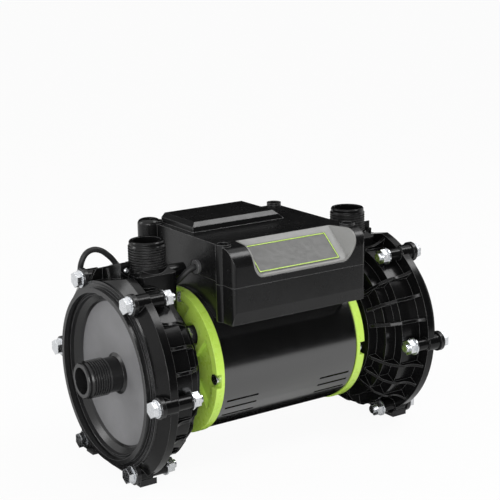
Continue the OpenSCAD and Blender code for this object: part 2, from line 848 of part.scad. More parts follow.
module posts(side) {
    nut_at = web_end + (casing_back - web_end - stud_nut_h) * stud_nut_at_share;
    color(rubber_black) at_side(side) for (a = post_angles)
        on_circle(post_circle_r, a) for (span = [[web_end, nut_at], [nut_at + stud_nut_h, casing_back]])
            difference() {
                bar(post_r, span[0], span[1]);
                bar(stud_r + slack, span[0] - cut, span[1] + cut);
            }
}

module studs(side) {
    nut_at = web_end + (casing_back - web_end - stud_nut_h) * stud_nut_at_share;
    color(zinc) at_side(side) for (a = post_angles) on_circle(post_circle_r, a) {
        bar(stud_r, can_end - stud_nut_h, casing_back + stud_depth - free_gap);
        hex_bar(hex_af, nut_at, nut_at + stud_nut_h);
        hex_bar(hex_af, can_end - stud_nut_h, can_end - slack);
    }
}

module feet(side) {
    color(rubber_black) at_side(side) for (y = [-1, 1]) {
        boss_y = y * bolt_circle_r * cos(bolt_angle(4 + (y + 1) / 2));
        boss_h = bolt_circle_r * sin(bolt_angle(4 + (y + 1) / 2));
        difference() {
            translate([casing_face - foot_len, y * abs(boss_y) - foot_w / 2, -shaft_h])
                cube([foot_len, foot_w, shaft_h + boss_h]);
            bar(rim_r + free_gap, rim_back - cut, casing_face + cut);
            translate([0, y * abs(boss_y), boss_h]) bar(boss_r + seat_gap, rear_boss_end, casing_face + cut);
        }
    }
}

// Plan of the box's walls, front and lid bosses
module box_plan() {
    translate([-box_half, -box_front + front_d / 2])
        square([2 * box_half, box_back + box_front - front_d / 2]);
    translate([-front_half, -box_front + front_r]) square([2 * front_half, front_d - front_r]);
    translate([-front_half + front_r, -box_front]) square([2 * front_half - 2 * front_r, front_r + cut]);
    for (x = [-front_half + front_r, front_half - front_r])
        translate([x, -box_front + front_r]) circle(r = front_r);
    translate([-box_corner_x - column_out, box_back + column_back]) circle(r = column_r);
    for (x = [-box_corner_x, box_corner_x], y = [-box_corner_front, box_corner_back])
        translate([x, y]) circle(r = lid_boss_r);
}

// Extrudes a profile of [depth, height] points across the box
module across(profile, half) {
    rotate([90, 0, 90]) translate([0, 0, -half]) linear_extrude(2 * half) polygon(profile);
}

module lid_screw_places() {
    for (x = [-box_corner_x, box_corner_x], y = [-box_corner_front, box_corner_back])
        translate([x, y, 0]) children();
}

module box_base() {
    color(satin_black) translate([0, 0, shaft_h]) difference() {
        intersection() {
            translate([0, 0, box_low]) linear_extrude(joint_low - box_low) box_plan();
            across([[-box_front + lower_slope_d, box_low - cut], [-box_front, box_low + lower_slope_h],
                [-box_front, joint_low + cut], [box_clip_back, joint_low + cut],
                [box_clip_back, box_low - cut]], box_clip_half);
        }
        difference() {
            across([[-box_front + lower_slope_d + box_wall, box_low + box_wall],
                [-box_front + box_wall, box_low + lower_slope_h],
                [-box_front + box_wall, joint_low + cut], [box_back - box_wall, joint_low + cut],
                [box_back - box_wall, box_low + box_wall]], box_half - box_wall);
            bar(saddle_r + saddle_t, -front_half, front_half);
            lid_screw_places() cylinder(r = lid_boss_r, h = lid_top);
        }
        bar(saddle_r, -front_half - cut - lid_boss_r, front_half + cut + lid_boss_r);
        lid_screw_places() translate([0, 0, joint_high - lid_screw_len + lid_recess_d])
            cylinder(r = lid_screw_r + lid_pilot_slack, h = lid_screw_len);
        translate([gland_x, box_back + cut, gland_h]) rotate([90, 0, 0])
            cylinder(r = gland_neck_r + slack, h = box_wall + 2 * cut);
    }
}

// The space above the badge, which is cut out of the lid
module badge_space(depth, room) {
    half_left = badge_len / 2 - badge_x + room;
    half_right = badge_len / 2 + badge_x + room;
    top = badge_top_room + (room < 0 ? cut : room);
    corner_v = badge_w + room - badge_corner_r;
    translate([0, -badge_top_y, badge_top_h]) rotate([badge_slope, 0, 0]) intersection() {
        rotate([90, 0, 0]) translate([0, 0, -top]) linear_extrude(top + badge_w + room)
            polygon([[-half_left, -depth], [half_right, -depth],
                [half_right + badge_right_flare, badge_flare_h],
                [-half_left - badge_left_flare, badge_flare_h]]);
        union() {
            translate([-badge_len, -corner_v, -depth - cut])
                cube([2 * badge_len, corner_v + top + cut, badge_flare_h + depth + 2 * cut]);
            translate([badge_corner_r - half_left, -badge_w - room - cut, -depth - cut])
                cube([half_left + half_right - 2 * badge_corner_r, badge_w, badge_flare_h + depth + 2 * cut]);
            translate([badge_corner_r - half_left, -corner_v, 0]) badge_corner(badge_left_flare, depth);
            translate([half_right - badge_corner_r, -corner_v, 0]) badge_corner(badge_right_flare, depth);
        }
    }
}

// A flared round corner of the space above the badge
module badge_corner(flare, depth) {
    rotate_extrude() polygon([[0, -depth], [badge_corner_r, -depth], [badge_corner_r + flare, badge_flare_h],
        [0, badge_flare_h]]);
}

// The outer shape of the lid with its raised part, before it is hollowed
module lid_outside() {
    intersection() {
        union() {
            translate([0, 0, joint_high]) linear_extrude(lid_top - joint_high) box_plan();
            lid_screw_places() translate([0, 0, joint_high])
                cylinder(r = lid_boss_r, h = lid_top + lid_boss_h - joint_high);
            translate([-box_corner_x - column_out, box_back + column_back, joint_high]) rotate_extrude() {
                square([column_r, lid_top + column_rise - joint_high - column_edge_r]);
                square([column_r - column_edge_r, lid_top + column_rise - joint_high]);
                translate([column_r - column_edge_r, lid_top + column_rise - joint_high - column_edge_r])
                    intersection() {
                        circle(r = column_edge_r);
                        square(column_edge_r);
                    }
            }
            difference() {
                translate([plateau_x, plateau_front_y, 0]) rotate([90, 0, 0]) translate([0, 0, -plateau_w])
                    linear_extrude(plateau_w) polygon([
                        [-plateau_half, lid_top - cut],
                        [-plateau_half, lid_top + plateau_h - plateau_left_cut],
                        [-plateau_half + plateau_left_cut, lid_top + plateau_h],
                        [plateau_half - plateau_right_cut, lid_top + plateau_h],
                        [plateau_half, lid_top - cut]]);
                translate([0, plateau_front_y, lid_top + plateau_h - plateau_front_cut]) rotate([45, 0, 0])
                    translate([plateau_x - plateau_half - cut, -plateau_w, 0])
                        cube([2 * plateau_half + 2 * cut, 2 * plateau_w, plateau_w]);
            }
        }
        union() {
            across([[-box_front, joint_high - cut], [-box_front, lid_top - nose_r],
                [-box_front + nose_r, lid_top - nose_r], [-box_front + nose_r, lid_top + plateau_h + cut],
                [box_clip_back, lid_top + plateau_h + cut],
                [box_clip_back, joint_high - cut]], box_clip_half);
            translate([-box_clip_half, -box_front + nose_r, lid_top - nose_r]) rotate([0, 90, 0])
                cylinder(r = nose_r, h = 2 * box_clip_half);
        }
    }
}

module box_lid() {
    hollow_top = lid_top - box_wall;
    slope_rise = hollow_top - joint_high - box_wall;
    color(satin_black) translate([0, 0, shaft_h]) difference() {
        lid_outside();
        difference() {
            across([[-box_front + box_wall, joint_high - cut], [-box_front + box_wall, joint_high + box_wall],
                [-box_front + box_wall + slope_rise / tan(badge_slope), hollow_top],
                [box_back - box_wall, hollow_top],
                [box_back - box_wall, joint_high - cut]], box_half - box_wall);
            lid_screw_places() cylinder(r = lid_boss_r, h = lid_top);
        }
        translate([plateau_x - plateau_half + box_wall + plateau_left_cut,
            plateau_front_y + box_wall + plateau_front_cut, hollow_top - cut])
            cube([2 * plateau_half - 2 * box_wall - plateau_left_cut - plateau_right_cut,
                plateau_w - 2 * box_wall - plateau_front_cut, plateau_h + cut]);
        badge_space(badge_t, badge_fit);
        lid_screw_places() {
            translate([0, 0, lid_top + lid_boss_h - lid_recess_d])
                cylinder(r = lid_recess_r, h = lid_recess_d + column_rise);
            translate([0, 0, joint_high - cut]) cylinder(r = lid_screw_r + lid_pilot_slack, h = lid_top);
        }
        translate([-box_half - cut, grommet_y, grommet_h]) rotate([0, 90, 0])
            cylinder(r = grommet_neck_r + slack, h = box_wall + 2 * cut);
    }
}

module box_gasket() {
    color(rubber_black) translate([0, 0, shaft_h + joint_low]) difference() {
        linear_extrude(gasket_t) difference() {
            box_plan();
            difference() {
                translate([-box_half + box_wall, -box_front + box_wall])
                    square([2 * box_half - 2 * box_wall, box_back + box_front - 2 * box_wall]);
                for (x = [-box_corner_x, box_corner_x], y = [-box_corner_front, box_corner_back])
                    translate([x, y]) circle(r = lid_boss_r);
            }
        }
        lid_screw_places() translate([0, 0, -cut])
            cylinder(r = lid_screw_r + lid_pilot_slack, h = gasket_t + 2 * cut);
    }
}

module lid_screws() {
    head_low = lid_top + lid_boss_h - lid_recess_d;
    color(zinc) translate([0, 0, shaft_h]) lid_screw_places() {
        translate([0, 0, head_low]) cylinder(r = lid_screw_head_r, h = lid_screw_head_h);
        translate([0, 0, head_low - lid_screw_len]) cylinder(r = lid_screw_r, h = lid_screw_len + overlap);
    }
}

module capacitor() {
    color(ivory) translate([plateau_x - capacitor_len / 2, capacitor_y, shaft_h + capacitor_h])
        rotate([0, 90, 0]) {
            cylinder(r = capacitor_r, h = capacitor_len);
            translate([0, 0, capacitor_len]) cylinder(r = capacitor_r - capacitor_band, h = capacitor_band);
        }
}

module terminal_block() {
    pitch = block_len / block_ways;
    color(ivory) translate([-block_len / 2, block_y - block_d / 2, shaft_h + block_seat_h]) difference() {
        cube([block_len, block_d, block_h]);
        for (i = [0:block_ways - 1])
            translate([i * pitch + pitch / 2, block_d / 2, block_h - block_hole_d])
                cylinder(r = block_hole_r, h = block_hole_d + cut);
    }
}

module badge() {
    color(silver_grey) translate([0, 0, shaft_h]) intersection() {
        difference() {
            badge_space(badge_t - badge_fit, 0);
            badge_space(0, -badge_wall);
        }
        lid_outside();
    }
}

// Places a flat piece on the badge's face, its middle over the middle of the box
module on_badge(lift) {
    translate([0, -badge_top_y, shaft_h + badge_top_h]) rotate([badge_slope, 0, 0])
        translate([0, -label_drop, lift]) children();
}

module label() {
    color(silver_grey) on_badge(badge_fit)
        translate([-label_len / 2, -label_w / 2, 0]) cube([label_len, label_w, label_t]);
}

module label_border() {
    outer = [label_len - 2 * border_inset, label_w - 2 * border_inset];
    color(lime) on_badge(badge_fit + label_t) linear_extrude(border_t) difference() {
        square(outer, center = true);
        square([outer[0] - 2 * border_w, outer[1] - 2 * border_w], center = true);
    }
}

module mains_gland() {
    color(rubber_black) translate([gland_x, box_back, shaft_h + gland_h]) rotate([-90, 0, 0]) difference() {
        union() {
            translate([0, 0, -box_wall - gland_inside])
                cylinder(r = gland_neck_r, h = box_wall + 2 * gland_inside);
            cylinder(d = gland_af / cos(30), h = gland_nut_h, $fn = 6);
            cylinder(r = gland_dome_r, h = gland_nut_h + gland_dome_h);
        }
        translate([0, 0, -box_wall - 2 * cut])
            cylinder(r = gland_bore_r, h = box_wall + gland_nut_h + gland_dome_h + 3 * cut);
    }
}

module lead_grommet() {
    color(rubber_black) translate([-box_half, grommet_y, shaft_h + grommet_h]) rotate([0, 90, 0])
        difference() {
            union() {
                translate([0, 0, -grommet_lip]) cylinder(r = grommet_r, h = grommet_lip);
                translate([0, 0, -overlap]) cylinder(r = grommet_neck_r, h = box_wall + cut);
            }
            translate([0, 0, -grommet_lip - cut])
                cylinder(r = lead_r + seat_gap, h = box_wall + grommet_lip + 3 * cut);
        }
}

module flow_float() {
    color(ivory) translate([-outlet_s, -outlet_front, shaft_h + float_seat_h + float_lift]) difference() {
        cylinder(r = float_r, h = float_len);
        for (a = [0:90:270]) rotate([0, 0, a]) translate([float_r, 0, -cut])
            cylinder(r = float_flute_r, h = float_len + 2 * cut);
    }
}

module float_stop() {
    color(zinc) translate([-outlet_s, -outlet_front, shaft_h + stop_h]) difference() {
        cylinder(r = port_r - slack, h = stop_t);
        translate([0, 0, -cut]) cylinder(r = stop_in_r, h = stop_t + 2 * cut);
    }
}

module flow_sensor() {
    color(satin_black) translate([-outlet_s - sensor_len / 2, sensor_flat + seat_gap, shaft_h + sensor_low])
        cube([sensor_len, sensor_d, sensor_h]);
}

// Direction of the route at a point, from its neighbours
function heading(path, i) =
    let (a = path[max(i - 1, 0)], b = path[min(i + 1, len(path) - 1)]) (b - a) / norm(b - a);

// One ring of points round the route
function ring_points(centre, dir, r) =
    let (side = cross(dir, [0, 0, 1]) / norm(cross(dir, [0, 0, 1])), top = cross(side, dir))
    [for (k = [0:lead_sides - 1]) let (a = k * 360 / lead_sides) centre + r * (cos(a) * side + sin(a) * top)];

// A tube swept along a route
module swept(path, r) {
    count = len(path);
    points = [for (i = [0:count - 1]) each ring_points(path[i], heading(path, i), r)];
    walls = [for (i = [0:count - 2], k = [0:lead_sides - 1])
        let (a = i * lead_sides + k, b = i * lead_sides + (k + 1) % lead_sides)
        each [[a, b + lead_sides, b], [a, a + lead_sides, b + lead_sides]]];
    near_cap = [for (k = [1:lead_sides - 2]) [0, k, k + 1]];
    last = (count - 1) * lead_sides;
    far_cap = [for (k = [1:lead_sides - 2]) [last, last + k + 1, last + k]];
    polyhedron(points, concat(walls, near_cap, far_cap));
}

module sensor_lead() {
    color(rubber_black) translate([0, 0, shaft_h]) swept(lead_route, lead_r);
}

motor_can();
stator_core();
windings();
rotor_core();
shaft();
tie_rods();
end_frame(-1);  // end_frame_left
end_frame(1);  // end_frame_right
bearing(-1);  // bearing_left
bearing(1);  // bearing_right
casing(-1);  // casing_left
casing(1);  // casing_right
inlet_cover(-1);  // inlet_cover_left
inlet_cover(1);  // inlet_cover_right
cover_seal(-1);  // cover_seal_left
cover_seal(1);  // cover_seal_right
head_bolts(-1);  // head_bolts_left
head_bolts(1);  // head_bolts_right
head_washers(-1);  // head_washers_left
head_washers(1);  // head_washers_right
head_nuts(-1);  // head_nuts_left
head_nuts(1);  // head_nuts_right
impeller(-1);  // impeller_left
impeller(1);  // impeller_right
impeller_nut(-1);  // impeller_nut_left
impeller_nut(1);  // impeller_nut_right
seal_seat(-1);  // seal_seat_left
seal_seat(1);  // seal_seat_right
seal_head(-1);  // seal_head_left
seal_head(1);  // seal_head_right
posts(-1);  // posts_left
posts(1);  // posts_right
studs(-1);  // studs_left
studs(1);  // studs_right
feet(-1);  // feet_left
feet(1);  // feet_right
box_base();
box_lid();
box_gasket();
lid_screws();
capacitor();
terminal_block();
badge();
label();
label_border();
mains_gland();
lead_grommet();
flow_float();
float_stop();
flow_sensor();
sensor_lead();
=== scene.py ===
"""Dresses the shower pump: materials, a few modelled pieces, studio light and the photograph's camera."""
import math

import bmesh
import bpy
from mathutils import Matrix, Vector


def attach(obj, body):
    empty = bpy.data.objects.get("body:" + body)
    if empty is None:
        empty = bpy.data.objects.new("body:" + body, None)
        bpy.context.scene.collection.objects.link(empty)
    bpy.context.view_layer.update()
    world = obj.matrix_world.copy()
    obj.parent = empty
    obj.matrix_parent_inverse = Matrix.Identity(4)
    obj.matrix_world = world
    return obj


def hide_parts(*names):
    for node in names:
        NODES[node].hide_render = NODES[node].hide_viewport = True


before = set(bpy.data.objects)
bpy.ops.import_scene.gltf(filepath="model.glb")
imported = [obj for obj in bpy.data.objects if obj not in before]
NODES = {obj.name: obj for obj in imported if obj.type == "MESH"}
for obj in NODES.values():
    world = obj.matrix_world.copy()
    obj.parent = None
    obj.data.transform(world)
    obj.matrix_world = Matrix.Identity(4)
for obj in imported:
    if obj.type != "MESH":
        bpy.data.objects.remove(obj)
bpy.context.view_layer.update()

MM = 0.001
SHAFT_H = 71 * MM
SIDES = ("left", "right")

# The inlet cover's dish: its floor's radius and distance from the middle, and the collar in it
DISH_R = 51.2 * MM
DISH_AT = 113.2 * MM
COLLAR_R = 15 * MM
BLEND_W = 0.4 * MM

# Height of the seam between the box's base and lid, and the band beside it that gets no painted edge
# highlight
SEAM_H = SHAFT_H + 65 * MM
SEAM_NEAR, SEAM_FAR = 0.8 * MM, 1.6 * MM

# Samples of the rounded edges, and the normals' likeness at which an edge starts and ends
BEVEL_SAMPLES = 6
EDGE_START, EDGE_FULL = 0.97, 0.8

# Noise scales in features per metre, and the part of the noise's range that is used
DRIFT_SCALE = 38
HIGHLIGHT_NOISE_SCALE = 260
MID_LOW, MID_HIGH = 0.3, 0.7
WIDE_LOW, WIDE_HIGH = 0.25, 0.75


# Camera

FRAME_PX = 500
FOCAL_PX = 1310.25
SENSOR = 36
CAMERA_AT = Vector((-515.88, -771.31, 371.64)) * MM
YAW, PITCH, ROLL = (math.radians(a) for a in (33.76, 13.89, -0.91))


def make_camera():
    """The camera fitted to the photograph's rings, rims and box edges."""
    forward = Vector((math.sin(YAW) * math.cos(PITCH), math.cos(YAW) * math.cos(PITCH), -math.sin(PITCH)))
    level = Vector((math.cos(YAW), -math.sin(YAW), 0))
    upright = level.cross(forward)
    right = level * math.cos(ROLL) + upright * math.sin(ROLL)
    up = upright * math.cos(ROLL) - level * math.sin(ROLL)
    data = bpy.data.cameras.new("camera")
    data.sensor_width = SENSOR
    data.lens = FOCAL_PX / FRAME_PX * SENSOR
    camera = bpy.data.objects.new("camera", data)
    matrix = Matrix((right, up, -forward)).transposed().to_4x4()
    matrix.translation = CAMERA_AT
    camera.matrix_world = matrix
    bpy.context.scene.collection.objects.link(camera)
    bpy.context.scene.camera = camera


# Materials

class Graph:
    """A material's node tree, with short calls to add and join nodes."""

    def __init__(self, name):
        self.material = bpy.data.materials.new(name)
        self.material.use_nodes = True
        self.tree = self.material.node_tree
        self.shader = self.tree.nodes["Principled BSDF"]
        self.coords = self.add("ShaderNodeTexCoord").outputs["Object"]

    def add(self, kind, inputs=(), **settings):
        node = self.tree.nodes.new(kind)
        for key, value in settings.items():
            setattr(node, key, value)
        for key, value in dict(inputs).items():
            self.put(node, key, value)
        return node

    def put(self, node, key, value):
        if isinstance(value, bpy.types.NodeSocket):
            self.tree.links.new(value, node.inputs[key])
        else:
            node.inputs[key].default_value = value

    def noise(self, scale, detail=3.0, roughness=0.55, stretch=None):
        """Noise, from 0 to 1, in features per metre; stretch squeezes it along axes."""
        coords = self.coords
        if stretch:
            coords = self.add("ShaderNodeMapping", {"Vector": coords, "Scale": stretch}).outputs["Vector"]
        node = self.add("ShaderNodeTexNoise",
                        {"Vector": coords, "Scale": scale, "Detail": detail, "Roughness": roughness})
        return node.outputs["Fac"]

    def ramp(self, value, low, high, out_low=0.0, out_high=1.0):
        """Maps value from low..high to out_low..out_high, clamped."""
        node = self.add("ShaderNodeMapRange", {"Value": value, "From Min": low, "From Max": high,
                                               "To Min": out_low, "To Max": out_high})
        return node.outputs["Result"]

    def mix(self, factor, first, second):
        node = self.add("ShaderNodeMix", data_type="RGBA")
        self.put(node, "Factor", factor)
        for index, value in ((6, first), (7, second)):
            self.put(node, index, value)
        return node.outputs[2]

    def maths(self, operation, first, second):
        return self.add("ShaderNodeMath", {0: first, 1: second}, operation=operation).outputs["Value"]

    def edges(self, radius):
        """Rounded-edge normal, and a mask that is 1 on the edges."""
        rounded = self.rounded(radius)
        plain = self.add("ShaderNodeNewGeometry").outputs["Normal"]
        dot = self.add("ShaderNodeVectorMath", {0: rounded, 1: plain}, operation="DOT_PRODUCT")
        return rounded, self.ramp(dot.outputs["Value"], EDGE_START, EDGE_FULL)

    def rounded(self, radius):
        """Normal of the surface with its edges rounded."""
        bevel = self.add("ShaderNodeBevel", {"Radius": radius}, samples=BEVEL_SAMPLES)
        return bevel.outputs["Normal"]

    def bump(self, height, strength, distance, normal):
        node = self.add("ShaderNodeBump", {"Height": height, "Strength": strength,
                                           "Distance": distance, "Normal": normal})
        return node.outputs["Normal"]


def grey(level):
    return (level, level, level * 1.03, 1)


def plastic(name, dark, light, gloss, rough, grain, grain_depth, edge, specular=0.35,
            wave=0.0, rim=0.1, seam=False):
    """Moulded plastic: a little colour drift, uneven gloss, fine grain, and a painted highlight that lightens
    the edges by rim.

    gloss and rough are the least and greatest roughness, grain the scale of the fine texture,
    edge the radius of the rounded edges, and wave how uneven the face is. seam keeps the line
    between the box's base and lid free of the painted edge highlight.
    """
    g = Graph(name)
    normal, mask = g.edges(edge)
    drift = g.ramp(g.noise(DRIFT_SCALE, 4), MID_LOW, MID_HIGH)
    body = g.mix(drift, dark, light)
    # Painted highlight: the rounded edges are lightened, broken up by noise, in place of the lamps' glints on
    # them.
    edge_highlight = g.maths("MULTIPLY", mask, g.ramp(g.noise(HIGHLIGHT_NOISE_SCALE, 5), 0.35, 0.75, 0.45, 0.95))
    # The painted edge highlight is left off the seam between the box's base and lid.
    if seam:
        height = g.add("ShaderNodeSeparateXYZ", {"Vector": g.coords}).outputs["Z"]
        above = g.maths("SUBTRACT", height, SEAM_H)
        away = g.ramp(g.maths("ABSOLUTE", above, 0), SEAM_NEAR, SEAM_FAR)
        edge_highlight = g.maths("MULTIPLY", edge_highlight, away)
    # The painted edge highlight's colour: the light tone, raised by rim.
    highlight_tone = tuple(min(1.0, c * 1.3 + rim) for c in light[:3]) + (1,)
    g.put(g.shader, "Base Color", g.mix(edge_highlight, body, highlight_tone))
    cloud = g.noise(90, 5, 0.65)
    g.put(g.shader, "Roughness", g.ramp(cloud, WIDE_LOW, WIDE_HIGH, gloss, rough))
    g.put(g.shader, "Specular IOR Level", specular)
    if wave:
        normal = g.bump(g.noise(55, 2), wave, 0.4 * MM, normal)
    g.put(g.shader, "Normal", g.bump(g.noise(grain, 3, 0.6), 0.5, grain_depth, normal))
    return g.material


def cover_plastic():
    """Satin black like the casing; the dish's floor has a fine spark-eroded texture and a pale grey tone that
    is partly painted light, the broad lamp's sheen on the textured floor.
    """
    g = Graph("cover_plastic")
    normal, mask = g.edges(0.4 * MM)
    split = g.add("ShaderNodeSeparateXYZ", {"Vector": g.coords}).outputs
    up = g.maths("SUBTRACT", split["Z"], SHAFT_H)
    across = g.add("ShaderNodeCombineXYZ", {"Y": split["Y"], "Z": up}).outputs["Vector"]
    radius = g.add("ShaderNodeVectorMath", {0: across}, operation="LENGTH").outputs["Value"]
    inside = g.ramp(radius, DISH_R, DISH_R - BLEND_W)
    outside = g.ramp(radius, COLLAR_R - BLEND_W, COLLAR_R)
    outward = g.maths("ABSOLUTE", split["X"], 0)
    low = g.ramp(outward, DISH_AT + BLEND_W, DISH_AT + 2 * BLEND_W, 1, 0)
    floor = g.maths("MULTIPLY", g.maths("MULTIPLY", inside, outside), low)
    smooth = g.mix(g.ramp(g.noise(DRIFT_SCALE, 4), MID_LOW, MID_HIGH), grey(0.007), grey(0.011))
    patches = g.ramp(g.noise(24, 3), WIDE_LOW, WIDE_HIGH)
    sparks = g.ramp(g.noise(1400, 3), MID_LOW, MID_HIGH, 0.7, 1.0)
    cloud = g.maths("MULTIPLY", patches, sparks)
    # The dish floor's pale grey is partly its textured finish and partly a painted sheen of the broad lamp on
    # it.
    pale = g.mix(cloud, grey(0.13), grey(0.21))
    body = g.mix(floor, smooth, pale)
    # Painted highlight: the rounded edges are lightened towards grey(0.16).
    edge_highlight = g.maths("MULTIPLY", mask, g.ramp(g.noise(HIGHLIGHT_NOISE_SCALE, 5), 0.35, 0.75, 0.4, 0.95))
    g.put(g.shader, "Base Color", g.mix(edge_highlight, body, grey(0.16)))
    g.put(g.shader, "Roughness", g.ramp(floor, 0, 1, 0.27, 0.5))
    g.put(g.shader, "Specular IOR Level", 0.4)
    grain = g.bump(g.noise(1500, 3, 0.6), g.ramp(floor, 0, 1, 0.1, 0.8), 0.08 * MM, normal)
    g.put(g.shader, "Normal", grain)
    return g.material


def plated(name, bright, dull, gloss, rough, edge, scratch=900):
    """Zinc plate or turned steel: bright metal with cloudy gloss and fine marks."""
    g = Graph(name)
    normal = g.rounded(edge)
    cloud = g.ramp(g.noise(420, 5, 0.7), MID_LOW, MID_HIGH)
    g.put(g.shader, "Base Color", g.mix(cloud, bright, dull))
    g.put(g.shader, "Metallic", 1.0)
    g.put(g.shader, "Roughness", g.ramp(g.noise(700, 4), MID_LOW, MID_HIGH, gloss, rough))
    marks = g.noise(scratch, 4, 0.7, (1, 1, 0.12))
    g.put(g.shader, "Normal", g.bump(marks, 0.25, 0.03 * MM, normal))
    return g.material


def paint():
    """Satin black paint on the motor can, with faint orange peel."""
    g = Graph("can_paint")
    normal = g.rounded(0.3 * MM)
    drift = g.ramp(g.noise(30, 4), MID_LOW, MID_HIGH)
    g.put(g.shader, "Base Color", g.mix(drift, grey(0.003), grey(0.005)))
    g.put(g.shader, "Roughness", g.ramp(g.noise(120, 5, 0.6), MID_LOW, MID_HIGH, 0.19, 0.25))
    g.put(g.shader, "Specular IOR Level", 0.8)
    g.put(g.shader, "Coat Weight", 1.0)
    g.put(g.shader, "Coat Roughness", 0.15)
    g.put(g.shader, "Coat IOR", 1.6)
    g.put(g.shader, "Normal", g.bump(g.noise(1500, 2), 0.25, 0.02 * MM, normal))
    return g.material


def lime_plastic():
    """Lime-green gloss plastic with a slightly mottled tone and a painted highlight on its edges."""
    g = Graph("lime_plastic")
    normal, mask = g.edges(0.7 * MM)
    drift = g.ramp(g.noise(60, 4), MID_LOW, MID_HIGH)
    body = g.mix(drift, (0.47, 0.71, 0.09, 1), (0.53, 0.76, 0.12, 1))
    # Painted highlight: the rounded edges are lightened towards a paler lime.
    edge_highlight = g.maths("MULTIPLY", mask, 0.35)
    g.put(g.shader, "Base Color", g.mix(edge_highlight, body, (0.66, 0.86, 0.26, 1)))
    g.put(g.shader, "Roughness", g.ramp(g.noise(150, 4), MID_LOW, MID_HIGH, 0.24, 0.34))
    g.put(g.shader, "Subsurface Weight", 0.05)
    g.put(g.shader, "Subsurface Radius", (0.4, 0.6, 0.1))
    g.put(g.shader, "Subsurface Scale", 1.0 * MM)
    g.put(g.shader, "Normal", g.bump(g.noise(900, 3), 0.3, 0.015 * MM, normal))
    return g.material


def badge_metal(name, tone, warm, edge=0.5):
    """Satin silver-grey badge with a fine brushed grain along its length and a painted highlight on its
    edges.
    """
    g = Graph(name)
    normal, mask = g.edges(edge * MM)
    brushed = g.noise(2600, 4, 0.7, (0.04, 1, 1))
    drift = g.ramp(brushed, MID_LOW, MID_HIGH)
    dark = (tone * 0.9 * warm, tone * 0.9 * warm, tone * 0.9, 1)
    light = (tone * 1.1 * warm, tone * 1.1 * warm, tone * 1.1, 1)
    body = g.mix(drift, dark, light)
    # Painted highlight: the rounded edges are lightened towards pale grey.
    edge_highlight = g.maths("MULTIPLY", mask, 0.5)
    g.put(g.shader, "Base Color", g.mix(edge_highlight, body, (0.55, 0.55, 0.5, 1)))
    g.put(g.shader, "Metallic", 0.0)
    g.put(g.shader, "Specular IOR Level", 0.5)
    g.put(g.shader, "Roughness", g.ramp(g.noise(300, 4), MID_LOW, MID_HIGH, 0.34, 0.44))
    g.put(g.shader, "Normal", g.bump(brushed, 0.2, 0.01 * MM, normal))
    return g.material


def dress(material, *names):
    """Gives CAD nodes a material in every slot."""
    for name in names:
        for slot in NODES[name].material_slots:
            slot.material = material


def both(*names):
    return [f"{name}_{side}" for name in names for side in SIDES]


def make_materials():
    casing = plastic("casing_plastic", grey(0.003), grey(0.005), 0.13, 0.24, 900, 0.02 * MM, 0.5 * MM,
                     specular=0.22, wave=0.12, rim=0.16)
    box = plastic("box_plastic", grey(0.005), grey(0.008), 0.20, 0.30, 1500, 0.02 * MM, 0.6 * MM,
                  specular=0.3, rim=0.24, seam=True)
    grommet = plastic("grommet_rubber", grey(0.05), grey(0.08), 0.3, 0.42, 800, 0.02 * MM, 0.4 * MM,
                      rim=0.3)
    satin = plastic("impeller_plastic", grey(0.012), grey(0.018), 0.3, 0.42, 1300, 0.03 * MM, 0.4 * MM)
    rubber = plastic("rubber", grey(0.012), grey(0.018), 0.4, 0.55, 800, 0.03 * MM, 0.4 * MM,
                     specular=0.3)
    ivory = plastic("ivory_plastic", (0.62, 0.56, 0.42, 1), (0.70, 0.64, 0.50, 1), 0.35, 0.5, 800,
                    0.02 * MM, 0.4 * MM)
    ceramic = plastic("ceramic", (0.70, 0.66, 0.58, 1), (0.78, 0.74, 0.66, 1), 0.18, 0.3, 900,
                      0.01 * MM, 0.3 * MM)
    zinc = plated("zinc_plate", (0.80, 0.81, 0.83, 1), (0.60, 0.62, 0.64, 1), 0.18, 0.36, 0.35 * MM)
    steel = plated("steel", (0.56, 0.57, 0.58, 1), (0.42, 0.43, 0.44, 1), 0.3, 0.45, 0.3 * MM)
    copper = plated("copper_winding", (0.72, 0.34, 0.16, 1), (0.50, 0.22, 0.10, 1), 0.3, 0.45,
                    0.3 * MM, scratch=400)
    dress(casing, *both("casing"))
    dress(cover_plastic(), *both("inlet_cover"))
    dress(satin, *both("impeller"))
    dress(box, "box_base", "box_lid", "flow_sensor")
    dress(paint(), "motor_can")
    dress(lime_plastic(), "label_border", *both("end_frame"))
    dress(grommet, "lead_grommet")
    dress(rubber, "box_gasket", "mains_gland", *both("posts", "feet", "cover_seal"))
    dress(zinc, "tie_rods", "lid_screws", "float_stop")
    dress(zinc, *both("head_bolts", "head_washers", "head_nuts", "studs"))
    dress(zinc, "shaft", *both("impeller_nut"))
    dress(steel, "stator_core", "rotor_core", *both("bearing", "seal_head"))
    dress(copper, "windings")
    make_lead(rubber)
    make_screw("roof_screw", ROOF_SCREW_AT, (0, -1, 0), ROOF_SCREW_R, zinc)
    dress(ivory, "capacitor", "terminal_block", "flow_float")
    dress(ceramic, *both("seal_seat"))
    dress(badge_metal("badge_metal", 0.20, 1.03), "badge")
    dress(badge_metal("label_metal", 0.045, 1.07), "label")


# The switch's lead

